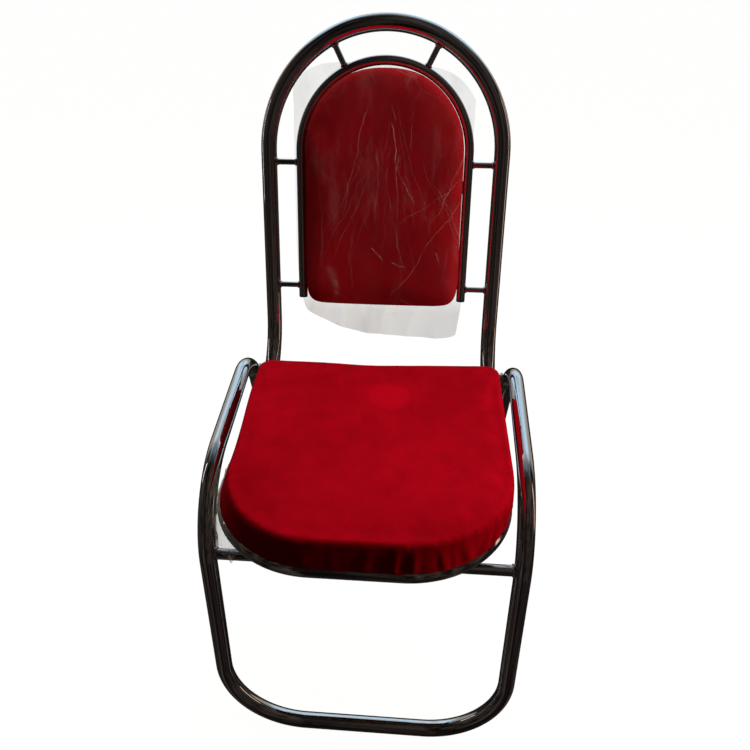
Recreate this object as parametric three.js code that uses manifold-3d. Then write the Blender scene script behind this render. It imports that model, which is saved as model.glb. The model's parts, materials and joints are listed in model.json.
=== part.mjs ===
// Stacking chair: chromed steel tube, upholstered seat and back.
// Millimetres, +Z up, the sitter faces -Y. The origin is on the floor, midway between the
// sides, under the middle of the chair's overall box.
//
// Two bent tubes carry everything. The base tube runs rear foot, tight bend, side rail, knee,
// front leg, floor bar and back up the other side. The loop tube is the tall arch of the back,
// whose legs bend forward under the seat and close in a D-shaped hoop. A stretcher at the
// rear bends and two braces at the front hold the loop inside the base.

import * as THREE from 'three';
import { mergeVertices } from 'three/addons/utils/BufferGeometryUtils.js';
import Module from 'manifold-3d';

const wasm = await Module();
wasm.setup();

// ---------------------------------------------------------------- driving dimensions
const gap = 0.3;                 // clearance between pieces that touch

const tubeOuter = 22.2;          // main tube, outside diameter
const tubeWall = 1.2;

// base tube, centre line
const hookHalf = 204.5;          // half width at the rear bends, the widest
const floorHalf = hookHalf - 6.5;      // half width at the floor bar
const kneeHalf = hookHalf - 8;         // half width at the knees
const rearFootHalf = hookHalf - 32.5;  // half width at the rear feet
const kneeForward = 31;          // how far back of the floor bar the knee corner is
const kneeHeight = 415;          // height of the knee corner
const hookForward = 332;         // how far back of the floor bar the rear corner is
const hookHeight = 449.5;        // height of the rear corner
const rearFootForward = 374;     // how far back of the floor bar the rear feet are
const floorBend = 112;           // bend radii
const kneeBend = 119.5;
const hookBend = 57.5;

// loop tube, centre line
const loopRoom = 9.3;            // between the loop and the knees of the base
const loopHalf = kneeHalf - tubeOuter - loopRoom;   // half width of the arch and of the seat hoop
const hoopHeight = 417;          // height of the seat hoop
const hoopFront = -61;           // front of the seat hoop, from the floor bar
const hoopCorner = 115;          // radius of its front corners
const backCorner = hookForward + 2;    // where the line of the back meets the hoop's level
const backLean = 0.24;           // lean of the back, radians
const backBend = 106;            // bend radius under the back
const archUp = 325;              // arch centre, measured up the back from its corner
const jointBack = 130;           // where the loop's two ends meet, on the left side
const jointGap = 0.6;
const sleeveLength = 60;
const sleeveWall = 1.5;

// back hoop and rods
const hoopTube = 12.7;           // small tube of the back hoop
const hoopWall = 1;
const backHoopHalf = 119.2;      // half width of its centre line
const backHoopEnd = 118;         // its open ends, up the back
const rodDiameter = 8;
const rodAngle = 27 * Math.PI / 180;   // top rods, from straight up
const rodHigh = archUp - 14;     // upper side rods, up the back
const rodLow = backHoopEnd + 16; // lower side rods, up the back
const plugHead = 2.5;            // end plugs of the hoop: head, its chamfer, stem
const plugChamfer = 1;
const plugStem = 9;

// stretchers and braces
const stretcherTube = 14;
const stretcherWall = 1;
const frontStretcherHeight = 331;
const rearStretcherTube = 12.7;
const rearStretcherAngle = 55 * Math.PI / 180;  // round the bend under the back, from level
const braceSide = 100;           // how far the front braces are from the middle
const braceRoomTop = 3;          // slanted ends: extra room for their cut corners
const braceRoomBottom = 1;

// seat
const seatHalfRear = loopHalf + 5.5;   // half width at the rear
const seatHalfFront = loopHalf + 1;    // half width where the front corners start
const seatFrontY = hoopFront - 15;
const seatRearY = backCorner - 69;
const seatFrontCorner = hoopCorner + 3;
const seatRearCorner = 22;
const seatThick = 47;
const seatShift = 3;             // the seat sits a little to one side of the frame
const boardThick = 9;
const coverThick = 1.5;

// seat fixings
const seatTabLength = 32;
const seatTabWidth = 26;
const seatTabThick = 2.5;
const seatTabRoom = 30;          // from the tabs to the ends of the hoop's straight sides
const seatScrewInset = 12;       // screw centre from the tab's inner end
const screwShank = 5;
const screwTip = 1;
const screwShort = 2;            // how far a screw stops below the top of its board
const seatScrewHead = 10;
const seatScrewHeadHeight = 3.2;

// back pad
const padRoom = 0.65;            // between the pad and the hoop round it
const padHalf = backHoopHalf - hoopTube / 2 - padRoom;
const padLow = backHoopEnd - 9;  // lower edge, up the back
const padCorner = 22;            // radius of the lower corners
const padFrontDepth = 28;        // in front of the hoop's plane
const padBackDepth = 6;          // behind the hoop's plane
const padBoardThick = 6;
const backTabLength = 24;
const backTabWidth = 18;
const backTabThick = 2;
const backTabRows = [backHoopEnd + 47, archUp - 45];  // up the back
const backTabOverhang = 2;       // past the middle of the hoop's tube
const backScrewInset = 6;
const backScrewHead = 8;
const backScrewHeadHeight = 2.6;

// feet and ends
const capWall = 2.4;
const capOuter = tubeOuter + 2 * capWall;
const capHeight = 24;
const capSole = 3.5;

// clear film bag on the back pad
const filmThick = 0.4;
const filmHalf = backHoopHalf + 8.8;
const filmTop = archUp + 107;
const filmLow = padLow - 3;      // its lower edge, up the back
const filmCorner = 30;

// ---------------------------------------------------------------- materials
const chrome = () => new THREE.MeshStandardMaterial({ color: 0xc9ccd0, metalness: 1, roughness: 0.12 });
const zinc = () => new THREE.MeshStandardMaterial({ color: 0xa9adb0, metalness: 0.9, roughness: 0.35 });
const velvet = () => new THREE.MeshStandardMaterial({ color: 0x9a0610, metalness: 0, roughness: 0.85 });
const foam = () => new THREE.MeshStandardMaterial({ color: 0xe8d9a0, metalness: 0, roughness: 0.95 });
const plywood = () => new THREE.MeshStandardMaterial({ color: 0xb58a5a, metalness: 0, roughness: 0.7 });
const rubber = () => new THREE.MeshStandardMaterial({ color: 0x151515, metalness: 0, roughness: 0.7 });
const film = () => new THREE.MeshStandardMaterial({
  color: 0xe9e4de, metalness: 0, roughness: 0.2, transparent: true, opacity: 0.3,
});

// ---------------------------------------------------------------- helpers
const chair = new THREE.Group();
const frameGroup = new THREE.Group();      // y = 0 at the floor bar
chair.add(frameGroup);
const backGroup = new THREE.Group();       // x across, y up the back, z towards the sitter
frameGroup.add(backGroup);
backGroup.position.set(0, backCorner, hoopHeight);
backGroup.rotation.set(Math.PI / 2 - backLean, 0, 0);

function place(parent, name, geometry, material) {
  const mesh = new THREE.Mesh(geometry, material);
  mesh.name = name;
  parent.add(mesh);
  return mesh;
}

// A centre line of straight runs joined by circular bends. Every straight is one step and
// every bend takes as many as its angle needs, so a tube has no more facets than it must.
const bendStep = Math.PI / 20;
const facetDrop = (radius) => radius * (1 - Math.cos(bendStep / 2));   // chord inside its arc

class BentLine extends THREE.Curve {
  constructor(corners, radii) {
    super();
    this.points = [corners[0].clone()];
    for (let i = 1; i < corners.length - 1; i++) {
      const into = corners[i].clone().sub(corners[i - 1]).normalize();
      const out = corners[i + 1].clone().sub(corners[i]).normalize();
      const turn = into.angleTo(out);
      const radius = radii[i - 1];
      const start = corners[i].clone().addScaledVector(into, -radius * Math.tan(turn / 2));
      const inward = out.clone().sub(into).normalize();
      const centre = corners[i].clone().addScaledVector(inward, radius / Math.cos(turn / 2));
      const axis = into.clone().cross(out).normalize();
      const steps = Math.max(2, Math.round(turn / bendStep));
      for (let k = 0; k <= steps; k++) {
        const spoke = start.clone().sub(centre).applyAxisAngle(axis, turn * k / steps);
        this.points.push(centre.clone().add(spoke));
      }
    }
    this.points.push(corners[corners.length - 1].clone());
    this.steps = this.points.length - 1;
  }
  getPoint(t, target = new THREE.Vector3()) {
    const at = t * this.steps;
    const i = Math.min(Math.floor(at), this.steps - 1);
    return target.copy(this.points[i]).lerp(this.points[i + 1], at - i);
  }
  getPointAt(u, target) {
    return this.getPoint(u, target);
  }
  getTangentAt(u, target = new THREE.Vector3()) {
    const i = Math.round(u * this.steps);
    const before = this.points[Math.max(i - 1, 0)];
    const after = this.points[Math.min(i + 1, this.steps)];
    const here = this.points[i];
    const into = here.clone().sub(before).normalize();
    const out = after.clone().sub(here).normalize();
    return target.copy(into).add(out).normalize();
  }
}

function circle(radius, sides) {
  const shape = new THREE.Shape();
  for (let i = 0; i <= sides; i++) {
    const a = (i % sides) / sides * 2 * Math.PI;
    const x = radius * Math.cos(a);
    const y = radius * Math.sin(a);
    if (i === 0) shape.moveTo(x, y); else shape.lineTo(x, y);
  }
  return shape;
}

const boreSides = 10;            // facets round the inside of a tube

// a tube, or a solid rod where wall is 0, along a line
function tubeAlong(line, outer, wall, sides = 16) {
  const ring = circle(outer / 2, sides);
  if (wall > 0) ring.holes.push(circle(outer / 2 - wall, boreSides));
  return new THREE.ExtrudeGeometry(ring, { steps: line.steps, extrudePath: line, curveSegments: 1 });
}

const straight = (a, b) => new BentLine([a, b], []);
const v = (x, y, z) => new THREE.Vector3(x, y, z);

// a flat outline raised along +Z
function slab(shape, low, high, curveSegments = 8) {
  const geometry = new THREE.ExtrudeGeometry(shape, { depth: high - low, bevelEnabled: false, curveSegments });
  return geometry.translate(0, 0, low);
}

function toSolid(geometry) {
  const bare = geometry.clone();
  bare.deleteAttribute('normal');
  bare.deleteAttribute('uv');
  const merged = mergeVertices(bare, 1e-4);
  return new wasm.Manifold(new wasm.Mesh({
    numProp: 3,
    vertProperties: new Float32Array(merged.attributes.position.array),
    triVerts: new Uint32Array(merged.index.array),
  }));
}

function toGeometry(solid) {
  const mesh = solid.getMesh();
  const geometry = new THREE.BufferGeometry();
  geometry.setAttribute('position', new THREE.BufferAttribute(new Float32Array(mesh.vertProperties), 3));
  geometry.setIndex(new THREE.BufferAttribute(new Uint32Array(mesh.triVerts), 1));
  geometry.computeVertexNormals();
  return geometry;
}

const cutAway = (geometry, ...tools) => toGeometry(
  tools.reduce((solid, tool) => solid.subtract(toSolid(tool)), toSolid(geometry)));

const leastCorner = 2;           // smallest rounding of an inset outline

// a round profile turned about +Y
const turned = (profile, sides = 16) => new THREE.LatheGeometry(
  profile.map(([r, y]) => new THREE.Vector2(r, y)), sides);

// a pan-head screw pointing up +Z, the underside of its head at z = 0
function panScrew(head, headHeight, reach) {
  const rim = 0.45 * headHeight;
  return turned([
    [0, -headHeight], [0.38 * head, -headHeight], [head / 2, -rim], [head / 2, 0],
    [screwShank / 2, 0], [screwShank / 2, reach - screwTip], [0, reach],
  ], 12).rotateX(Math.PI / 2);
}

// the hole that a screw passes through, of a depth centred on z = 0
function screwHole(depth) {
  return new THREE.CylinderGeometry(screwShank / 2 + gap, screwShank / 2 + gap, depth, 12).rotateX(Math.PI / 2);
}

// ---------------------------------------------------------------- base tube
const tubeRadius = tubeOuter / 2;
function baseSide(sign) {
  return [
    v(sign * rearFootHalf, rearFootForward, capSole),
    v(sign * hookHalf, hookForward, hookHeight),
    v(sign * kneeHalf, kneeForward, kneeHeight),
    v(sign * floorHalf, 0, tubeRadius),
  ];
}
const baseLine = new BentLine(
  [...baseSide(-1), ...baseSide(1).reverse()],
  [hookBend, kneeBend, floorBend, floorBend, kneeBend, hookBend]);
place(frameGroup, 'base_frame', tubeAlong(baseLine, tubeOuter, tubeWall), chrome());

// ---------------------------------------------------------------- rear foot caps
// Cups pushed over the tube ends, with their soles cut level with the floor.
for (const [side, sign] of [['left', -1], ['right', 1]]) {
  const foot = v(sign * rearFootHalf, rearFootForward, capSole);
  const up = v(sign * hookHalf, hookForward, hookHeight).sub(foot).normalize();
  const bore = tubeRadius + gap;
  const cup = turned([
    [0, -2 * capSole], [capOuter / 2, -2 * capSole], [capOuter / 2, capHeight - capSole],
    [bore, capHeight - capSole], [bore, -gap], [0, -gap],
  ]);
  cup.applyQuaternion(new THREE.Quaternion().setFromUnitVectors(v(0, 1, 0), up));
  cup.translate(foot.x, foot.y, foot.z);
  const floorBlock = new THREE.BoxGeometry(4 * capOuter, 4 * capOuter, 4 * capOuter);
  floorBlock.translate(foot.x, foot.y, -2 * capOuter);
  place(frameGroup, `rear_cap_${side}`, cutAway(cup, floorBlock), rubber());
}

// ---------------------------------------------------------------- loop tube
// It starts and ends at a butt joint on the left side of the seat hoop.
const up = v(0, Math.sin(backLean), Math.cos(backLean));
const backPoint = (x, rise) => v(x, backCorner, hoopHeight).addScaledVector(up, rise);
const archTop = archUp + loopHalf;
const loopLine = new BentLine(
  [
    v(-loopHalf, jointBack - jointGap / 2, hoopHeight),
    v(-loopHalf, hoopFront, hoopHeight),
    v(loopHalf, hoopFront, hoopHeight),
    v(loopHalf, backCorner, hoopHeight),
    backPoint(loopHalf, archTop),
    backPoint(-loopHalf, archTop),
    v(-loopHalf, backCorner, hoopHeight),
    v(-loopHalf, jointBack + jointGap / 2, hoopHeight),
  ],
  [hoopCorner, hoopCorner, backBend, loopHalf - 0.01, loopHalf - 0.01, backBend]);
place(frameGroup, 'loop_frame', tubeAlong(loopLine, tubeOuter, tubeWall), chrome());

const sleeveRadius = (tubeRadius - tubeWall) * Math.cos(Math.PI / boreSides) - gap;
place(frameGroup, 'loop_sleeve', tubeAlong(
  straight(
    v(-loopHalf, jointBack - sleeveLength / 2, hoopHeight),
    v(-loopHalf, jointBack + sleeveLength / 2, hoopHeight)),
  2 * sleeveRadius, sleeveWall, 12), zinc());

// ---------------------------------------------------------------- stretchers and braces
// where a straight run between two corners is at a height
function sideAtHeight(low, high, height) {
  return low.clone().lerp(high, (height - low.z) / (high.z - low.z));
}
const legAtStretcher = sideAtHeight(
  v(floorHalf, 0, tubeRadius), v(kneeHalf, kneeForward, kneeHeight), frontStretcherHeight);
const frontReach = legAtStretcher.x - tubeRadius - gap;
place(frameGroup, 'front_stretcher', tubeAlong(
  straight(
    v(-frontReach, legAtStretcher.y, frontStretcherHeight),
    v(frontReach, legAtStretcher.y, frontStretcherHeight)),
  stretcherTube, stretcherWall, 12), chrome());

const bendCentre = v(0, backCorner - backBend * Math.tan((Math.PI / 2 - backLean) / 2), hoopHeight + backBend);
const stretcherOff = backBend + tubeRadius + rearStretcherTube / 2 + gap;
const rearAt = bendCentre.clone().add(v(
  0, stretcherOff * Math.cos(rearStretcherAngle), -stretcherOff * Math.sin(rearStretcherAngle)));
const fromRear = (p) => Math.hypot(p.y - rearAt.y, p.z - rearAt.z);
const bendBeside = baseLine.points.filter((p) => p.x > 0)
  .reduce((best, p) => (fromRear(p) < fromRear(best) ? p : best));
const rearReach = bendBeside.x - tubeRadius - 4 * gap;
place(frameGroup, 'rear_stretcher', tubeAlong(
  straight(v(-rearReach, rearAt.y, rearAt.z), v(rearReach, rearAt.y, rearAt.z)),
  rearStretcherTube, stretcherWall, 12), chrome());

// a brace from the underside of the hoop's front to the front stretcher, each side
for (const [side, sign] of [['left', -1], ['right', 1]]) {
  const across = Math.max(braceSide - (loopHalf - hoopCorner), 0);
  const hoopY = hoopFront + hoopCorner - Math.sqrt(hoopCorner ** 2 - across ** 2);
  const top = v(sign * braceSide, hoopY, hoopHeight);
  const bottom = v(sign * braceSide, legAtStretcher.y, frontStretcherHeight);
  const along = bottom.clone().sub(top).normalize();
  const clearTop = tubeRadius + gap + braceRoomTop;
  const clearBottom = stretcherTube / 2 + gap + braceRoomBottom;
  place(frameGroup, `front_brace_${side}`, tubeAlong(
    straight(top.addScaledVector(along, clearTop), bottom.addScaledVector(along, -clearBottom)),
    rodDiameter, 0, 12), chrome());
}

// ---------------------------------------------------------------- back hoop and rods
// In backGroup's frame the back is the XY plane, so these are drawn flat.
const hoopTop = archUp + backHoopHalf;
const backHoopLine = new BentLine(
  [
    v(-backHoopHalf, backHoopEnd, 0), v(-backHoopHalf, hoopTop, 0),
    v(backHoopHalf, hoopTop, 0), v(backHoopHalf, backHoopEnd, 0),
  ],
  [backHoopHalf - 0.01, backHoopHalf - 0.01]);
place(backGroup, 'back_hoop', tubeAlong(backHoopLine, hoopTube, hoopWall, 12), chrome());

for (const [side, sign] of [['left', -1], ['right', 1]]) {
  const stem = (hoopTube / 2 - hoopWall) * Math.cos(Math.PI / boreSides) - gap;
  const plug = turned([
    [0, -plugHead], [hoopTube / 2 - plugChamfer, -plugHead], [hoopTube / 2, plugChamfer - plugHead],
    [hoopTube / 2, -gap], [stem, -gap], [stem, plugStem], [0, plugStem],
  ], 12);
  plug.translate(sign * backHoopHalf, backHoopEnd, 0);
  place(backGroup, `hoop_plug_${side}`, plug, rubber());
}

const rodInner = backHoopHalf + hoopTube / 2 + gap;
const rodOuter = loopHalf - tubeRadius - gap - facetDrop(loopHalf);
const rodEnds = [
  { name: 'top', from: (r) => v(r * Math.sin(rodAngle), archUp + r * Math.cos(rodAngle), 0) },
  { name: 'high', from: (r) => v(r, rodHigh, 0) },
  { name: 'low', from: (r) => v(r, rodLow, 0) },
];
for (const { name, from } of rodEnds) {
  for (const [side, sign] of [['left', -1], ['right', 1]]) {
    const mirror = v(sign, 1, 1);
    place(backGroup, `back_rod_${name}_${side}`, tubeAlong(
      straight(from(rodInner).multiply(mirror), from(rodOuter).multiply(mirror)),
      rodDiameter, 0, 10), chrome());
  }
}

// ---------------------------------------------------------------- seat
// The board lies level on the hoop and clears the start of the bend at its rear edge.
const bendTop = backBend - tubeRadius;
const pastBend = Math.max(seatRearY - bendCentre.y, 0);
const bendRise = bendTop - Math.sqrt(bendTop ** 2 - pastBend ** 2);
const seatLow = hoopHeight + tubeRadius + bendRise + gap;
const seatTop = seatLow + seatThick;

// The seat's outline drawn inset from its edge: rounded rear corners, sides that close in
// towards the front, and a wide D front.
function seatOutline(inset) {
  const rear = seatRearY - inset;
  const front = seatFrontY + inset;
  const halfRear = seatHalfRear - inset;
  const halfFront = seatHalfFront - inset;
  const rc = Math.max(seatRearCorner - inset, leastCorner);
  const fc = seatFrontCorner - inset;
  const shape = new THREE.Shape();
  shape.moveTo(-halfFront, front + fc);
  shape.absarc(-halfFront + fc, front + fc, fc, Math.PI, 1.5 * Math.PI, false);
  shape.absarc(halfFront - fc, front + fc, fc, 1.5 * Math.PI, 2 * Math.PI, false);
  shape.lineTo(halfRear, rear - rc);
  shape.absarc(halfRear - rc, rear - rc, rc, 0, 0.5 * Math.PI, false);
  shape.absarc(-halfRear + rc, rear - rc, rc, 0.5 * Math.PI, Math.PI, false);
  return shape;
}

const seatGroup = new THREE.Group();
seatGroup.position.set(seatShift, 0, 0);
frameGroup.add(seatGroup);
const inside = coverThick + gap;
const boardTop = seatLow + boardThick;
place(seatGroup, 'seat_cover', cutAway(
  slab(seatOutline(0), seatLow, seatTop),
  slab(seatOutline(coverThick), seatLow - 1, seatTop - coverThick)), velvet());
place(seatGroup, 'seat_foam', slab(seatOutline(inside), boardTop + gap, seatTop - inside), foam());

// Screw tabs on the inner side of the seat hoop, a screw up through each into the board.
const tabTop = seatLow - gap;
const tabOuterX = loopHalf - Math.sqrt(tubeRadius ** 2 - (tabTop - seatTabThick - hoopHeight) ** 2) - gap;
const screwX = tabOuterX - seatTabLength + seatScrewInset;
const seatTabRows = [hoopFront + hoopCorner + seatTabRoom, bendCentre.y - seatTabRoom];
const boardHoles = [];
const seatScrewSpots = [];
for (const [side, sign] of [['left', -1], ['right', 1]]) {
  seatTabRows.forEach((row, i) => {
    const end = i === 0 ? 'front' : 'rear';
    const hole = screwHole(4 * seatTabThick).translate(sign * screwX, row, tabTop);
    const plate = new THREE.BoxGeometry(seatTabLength, seatTabWidth, seatTabThick);
    plate.translate(sign * (tabOuterX - seatTabLength / 2), row, tabTop - seatTabThick / 2);
    place(frameGroup, `seat_tab_${end}_${side}`, cutAway(plate, hole), chrome());
    seatScrewSpots.push({ name: `seat_screw_${end}_${side}`, x: sign * screwX, y: row });
  });
}
const seatScrewReach = seatTabThick + 2 * gap + boardThick - screwShort;
for (const { name, x, y } of seatScrewSpots) {
  const screw = panScrew(seatScrewHead, seatScrewHeadHeight, seatScrewReach);
  place(frameGroup, name, screw.translate(x, y, tabTop - seatTabThick - gap), zinc());
  boardHoles.push(screwHole(2 * (boardThick - screwShort / 2)).translate(x - seatShift, y, seatLow));
}
place(seatGroup, 'seat_board', cutAway(slab(seatOutline(inside), seatLow, boardTop), ...boardHoles), plywood());

// ---------------------------------------------------------------- back pad
const padTop = archUp + padHalf;
function padOutline(inset) {
  const half = padHalf - inset;
  const low = padLow + inset;
  const corner = Math.max(padCorner - inset, leastCorner);
  const shape = new THREE.Shape();
  shape.moveTo(-half, low + corner);
  shape.absarc(-half + corner, low + corner, corner, Math.PI, 1.5 * Math.PI, false);
  shape.absarc(half - corner, low + corner, corner, 1.5 * Math.PI, 2 * Math.PI, false);
  shape.lineTo(half, archUp);
  shape.absarc(0, archUp, half, 0, Math.PI, false);
  return shape;
}
place(backGroup, 'back_cover', cutAway(
  slab(padOutline(0), -padBackDepth, padFrontDepth),
  slab(padOutline(coverThick), -padBackDepth - 1, padFrontDepth - coverThick)), velvet());
const padBoardTop = padBoardThick - padBackDepth;
place(backGroup, 'back_foam', slab(
  padOutline(inside), padBoardTop + gap, padFrontDepth - inside), foam());

const backTabFront = -hoopTube / 2 - gap;
const backTabOuterX = backHoopHalf + backTabOverhang;
const backScrewX = backTabOuterX - backTabLength + backScrewInset;
const backScrewReach = backTabThick + 2 * gap + padBoardThick - screwShort;
const padHoles = [];
for (const [side, sign] of [['left', -1], ['right', 1]]) {
  backTabRows.forEach((row, i) => {
    const end = i === 0 ? 'low' : 'high';
    const x = sign * backScrewX;
    const hole = screwHole(4 * backTabThick).translate(x, row, backTabFront);
    const plate = new THREE.BoxGeometry(backTabLength, backTabWidth, backTabThick);
    plate.translate(sign * (backTabOuterX - backTabLength / 2), row, backTabFront - backTabThick / 2);
    place(backGroup, `back_tab_${end}_${side}`, cutAway(plate, hole), chrome());
    const screw = panScrew(backScrewHead, backScrewHeadHeight, backScrewReach);
    place(backGroup, `back_screw_${end}_${side}`,
      screw.translate(x, row, backTabFront - backTabThick - gap), zinc());
    padHoles.push(screwHole(2 * (padBoardThick - screwShort / 2)).translate(x, row, -padBackDepth));
  });
}
place(backGroup, 'back_board', cutAway(
  slab(padOutline(inside), -padBackDepth, padBoardTop), ...padHoles), plywood());

// ---------------------------------------------------------------- clear film
// The loose sheet of the film bag, hanging behind the pad and its screws.
const filmBack = backTabFront - backTabThick - backScrewHeadHeight - 3 * gap;
const filmShape = new THREE.Shape();
filmShape.moveTo(-filmHalf + filmCorner, filmLow);
filmShape.lineTo(filmHalf - filmCorner, filmLow);
filmShape.lineTo(filmHalf, filmLow + filmCorner);
filmShape.lineTo(filmHalf - filmCorner / 2, filmTop - 2 * filmCorner);
filmShape.lineTo(filmHalf - 2 * filmCorner, filmTop);
filmShape.lineTo(-filmHalf + 2 * filmCorner, filmTop);
filmShape.lineTo(-filmHalf + filmCorner / 2, filmTop - 2 * filmCorner);
filmShape.lineTo(-filmHalf, filmLow + filmCorner);
filmShape.closePath();
place(backGroup, 'back_film', slab(filmShape, filmBack - filmThick, filmBack), film());

// ---------------------------------------------------------------- origin
// Centre the whole chair over the origin, front to back.
chair.updateMatrixWorld(true);
const box = new THREE.Box3().setFromObject(frameGroup, true);
frameGroup.position.set(-(box.min.x + box.max.x) / 2, -(box.min.y + box.max.y) / 2, -box.min.z);

export default chair;
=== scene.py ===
import json
import math
import random

import bmesh
import bpy
from mathutils import Matrix, Vector


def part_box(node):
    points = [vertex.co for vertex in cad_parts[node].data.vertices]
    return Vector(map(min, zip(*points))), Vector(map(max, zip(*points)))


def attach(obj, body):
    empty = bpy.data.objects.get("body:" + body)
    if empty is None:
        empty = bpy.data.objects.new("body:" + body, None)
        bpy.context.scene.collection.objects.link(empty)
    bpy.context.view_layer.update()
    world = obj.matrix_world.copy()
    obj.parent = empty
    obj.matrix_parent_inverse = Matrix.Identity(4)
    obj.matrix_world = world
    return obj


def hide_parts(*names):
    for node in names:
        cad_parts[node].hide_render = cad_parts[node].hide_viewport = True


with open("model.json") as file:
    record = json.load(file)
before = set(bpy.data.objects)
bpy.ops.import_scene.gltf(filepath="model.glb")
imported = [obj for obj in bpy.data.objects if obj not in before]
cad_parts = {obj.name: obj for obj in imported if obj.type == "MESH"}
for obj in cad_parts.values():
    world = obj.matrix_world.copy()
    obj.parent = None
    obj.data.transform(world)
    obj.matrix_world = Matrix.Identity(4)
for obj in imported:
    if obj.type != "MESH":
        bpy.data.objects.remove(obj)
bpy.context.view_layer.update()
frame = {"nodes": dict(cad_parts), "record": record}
scene = bpy.context.scene

# ------------------------------------------------------------------ base tube
# One length of 22.2 mm steel tube, bent at six places and chromed: rear leg, tight bend, side
# rail, knee, front leg, floor bar, and back up the other side. Its corners are where the
# straight runs would meet.
TUBE = 0.0111                    # radius of the main tube
BAR_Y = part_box("base_frame")[0].y + TUBE
SOLE = 0.0035                    # thickness of the rear caps' soles

HOOK = (0.2045, BAR_Y + 0.332, 0.4495)
KNEE = (0.1965, BAR_Y + 0.031, 0.415)
FLOOR = (0.198, BAR_Y, TUBE)
REAR_FOOT = (0.172, BAR_Y + 0.374, SOLE)
HOOK_BEND = 0.0575
KNEE_BEND = 0.1195
FLOOR_BEND = 0.112


class Wire:
    """A shader socket that takes part in sums: each sum adds its Math node."""

    def __init__(self, finish, socket):
        self.finish = finish
        self.socket = socket

    def sum(self, operation, first, second):
        return self.finish.node("ShaderNodeMath", {"operation": operation}, {0: first, 1: second})

    def __add__(self, other):
        return self.sum("ADD", self, other)

    def __radd__(self, other):
        return self.sum("ADD", other, self)

    def __sub__(self, other):
        return self.sum("SUBTRACT", self, other)

    def __rsub__(self, other):
        return self.sum("SUBTRACT", other, self)

    def __mul__(self, other):
        return self.sum("MULTIPLY", self, other)

    def __rmul__(self, other):
        return self.sum("MULTIPLY", other, self)

    def __truediv__(self, other):
        return self.sum("DIVIDE", self, other)

    def size(self):
        """The value without its sign."""
        return self.sum("ABSOLUTE", self, 0.0)

    def above(self, low, high):
        """0 below low, 1 above high, and a soft step between."""
        settings = {"interpolation_type": "SMOOTHSTEP", "clamp": True}
        sockets = {"Value": self, "From Min": low, "From Max": high}
        return self.finish.node("ShaderNodeMapRange", settings, sockets)


class Finish:
    """A material, or the world's light, under construction."""

    def __init__(self, name, world=None):
        self.material = world or bpy.data.materials.new(name)
        self.material.use_nodes = True
        self.tree = self.material.node_tree
        self.tree.nodes.clear()
        self.place = self.node("ShaderNodeTexCoord", {}, {}, "Generated" if world else "Object")

    def axes(self):
        """The place's x, y and z, each by itself."""
        split = self.node("ShaderNodeSeparateXYZ", {}, {"Vector": self.place}, "X")
        outputs = split.socket.node.outputs
        return [Wire(self, outputs[axis]) for axis in "XYZ"]

    def node(self, kind, settings, sockets, output=0):
        """Adds a node with its settings, fills its sockets, and gives one of its outputs."""
        made = self.tree.nodes.new(kind)
        for key, value in settings.items():
            setattr(made, key, value)
        for key, value in sockets.items():
            if isinstance(value, Wire):
                self.tree.links.new(value.socket, made.inputs[key])
            else:
                made.inputs[key].default_value = value
        return None if output is None else Wire(self, made.outputs[output])

    def noise(self, scale, detail=3.0, roughness=0.55, stretch=None):
        at = self.place
        if stretch:
            at = self.node("ShaderNodeMapping", {}, {"Vector": at, "Scale": stretch})
        sockets = {"Vector": at, "Scale": scale, "Detail": detail, "Roughness": roughness}
        return self.node("ShaderNodeTexNoise", {}, sockets, "Fac")

    def cells(self, scale, feature="F1"):
        sockets = {"Vector": self.place, "Scale": scale}
        return self.node("ShaderNodeTexVoronoi", {"feature": feature}, sockets, "Distance")

    def blend(self, amount, first, second):
        return self.node("ShaderNodeMix", {"data_type": "RGBA"}, {0: amount, 6: first, 7: second}, 2)

    def bump(self, height, distance, strength=1.0):
        return self.node("ShaderNodeBump", {}, {"Height": height, "Distance": distance, "Strength": strength})

    def done(self, sockets):
        shader = self.node("ShaderNodeBsdfPrincipled", {}, sockets)
        self.node("ShaderNodeOutputMaterial", {}, {"Surface": shader}, None)
        return self.material


def rgb(red, green, blue):
    return (red, green, blue, 1.0)


def chrome_finish():
    """Bright chrome over drawn tube: faint polishing lines, finger haze, a few dull specks."""
    brightest, dullest = 0.045, 0.16
    steel = Finish("chrome")
    haze = steel.noise(26, 5, 0.6)
    lines = steel.noise(240, 2, 0.5, stretch=(1, 1, 0.06))
    specks = 1 - steel.cells(420).above(0.05, 0.16)
    specks = specks * steel.noise(60, 2).above(0.56, 0.66)
    tint = steel.blend(specks * 0.6, rgb(0.78, 0.77, 0.76), rgb(0.17, 0.12, 0.09))
    rough = brightest + haze.above(0.42, 0.75) * (dullest - brightest) + specks * 0.3
    waver = steel.noise(38, 2) * 0.5 + lines * 0.035 + haze * 0.06
    return steel.done({
        "Base Color": tint, "Metallic": 1.0, "Roughness": rough,
        "Normal": steel.bump(waver, 0.0011, 0.5),
    })


def new_ring(mesh, made):
    """The edges of a freshly made ring, out of what an operator gave back."""
    points = {part for part in made if isinstance(part, bmesh.types.BMVert)}
    return [edge for edge in mesh.edges if edge.verts[0] in points and edge.verts[1] in points]


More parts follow.
